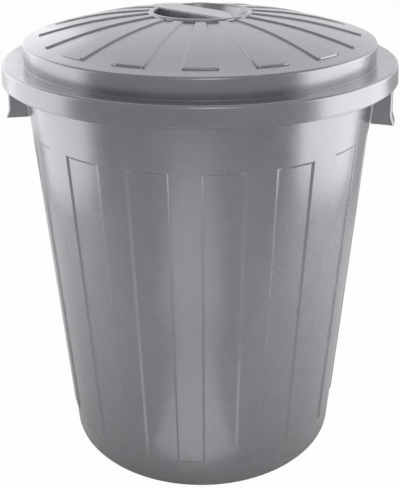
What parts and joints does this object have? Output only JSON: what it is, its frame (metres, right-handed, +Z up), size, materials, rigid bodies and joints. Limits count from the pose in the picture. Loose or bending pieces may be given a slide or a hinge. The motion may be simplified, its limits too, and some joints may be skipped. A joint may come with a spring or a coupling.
{
  "type": "plastic trash can",
  "caption": "Tall round plastic dustbin with an upright-ribbed, tapered body, moulded side handles and a loose ribbed lid with a grip bar across a finger cup.",
  "frame": {"origin": "middle of the base, on the plane that the tub stands on", "axes": "+Z up along the tub's axis; the two side handles lie on +X and -X; the picture looks along +Y, from a little to the right"},
  "size_m": [0.5052, 0.5042, 0.6018],
  "materials": {
    "tub_plastic": "silver grey, satin, faintly moulded",
    "lid_plastic": "silver grey, satin, faintly moulded"
  },
  "bodies": {
    "tub": {"tub": "tub_plastic"},
    "lid": {"lid": "lid_plastic"}
  },
  "joints": [
    {"name": "lid_lift", "type": "slide", "parent": "tub", "child": "lid", "axis": [0, 0, 1], "range_m": [0, 0.15]}
  ]
}
